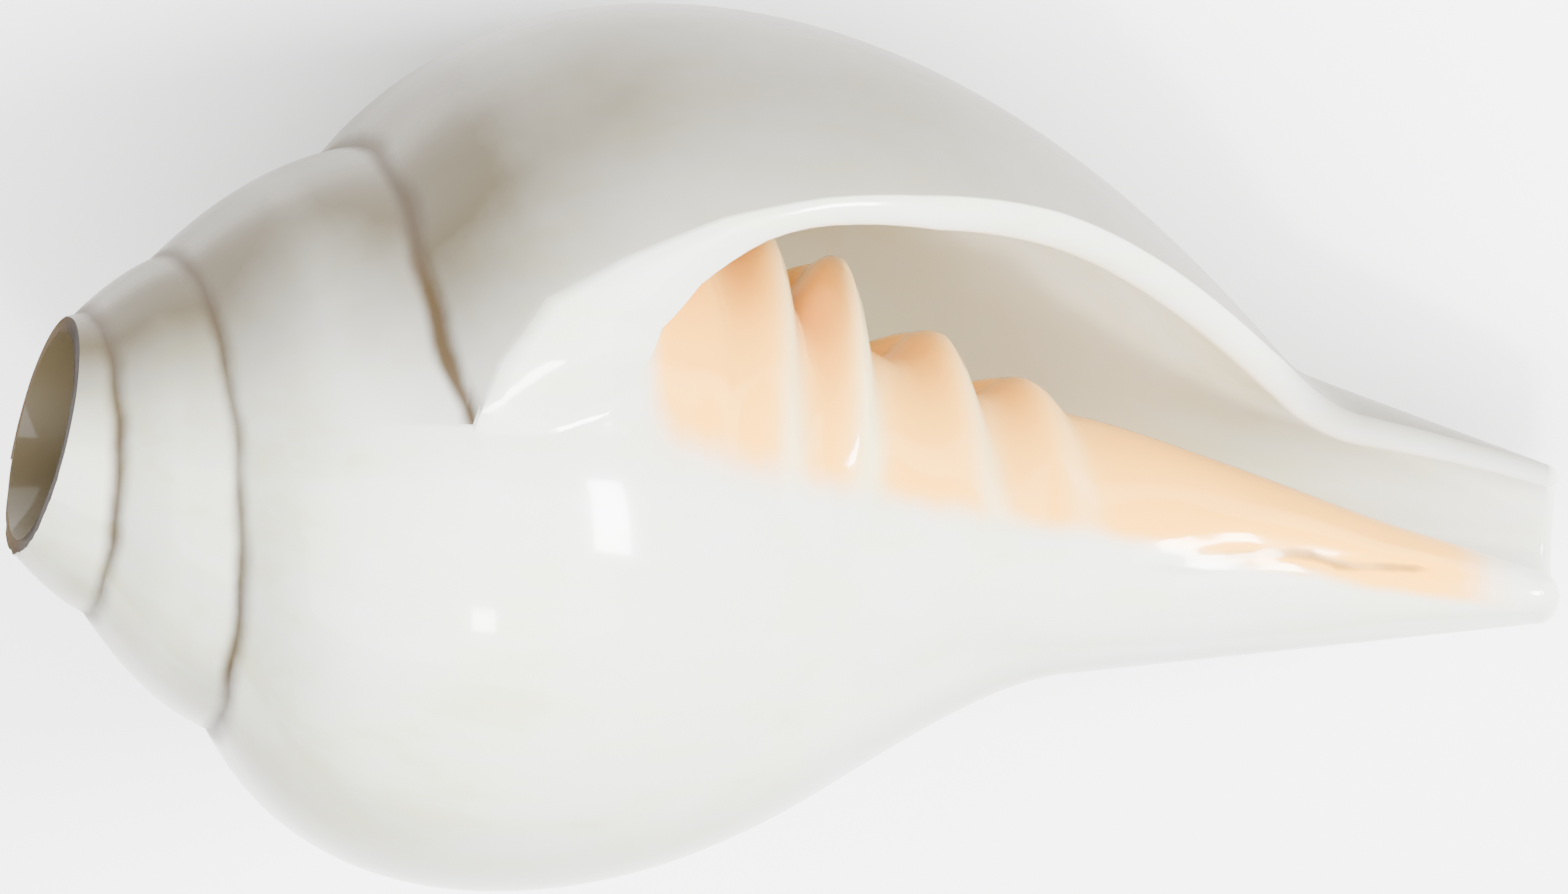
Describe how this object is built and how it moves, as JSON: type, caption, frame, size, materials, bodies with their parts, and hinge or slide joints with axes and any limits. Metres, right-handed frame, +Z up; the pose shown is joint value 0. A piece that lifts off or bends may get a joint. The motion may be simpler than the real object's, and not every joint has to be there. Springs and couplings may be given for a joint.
{
  "type": "conch shell",
  "caption": "Polished white blowing conch: a thick right-handed spiral sea shell with a sawn-off apex to blow through and a wide mouth that narrows into a long open canal.",
  "frame": {"origin": "centre of the bounding box, at the floor the shell rests on", "axes": "+Z up, the mouth open upwards; +X along the shell from the sawn apex to the canal's end; the lip is on the +Y side"},
  "size_m": [0.148, 0.0874, 0.084],
  "materials": {
    "shell": "polished, porcelain-like"
  },
  "bodies": {
    "root": {"shell": "shell"}
  },
  "joints": []
}
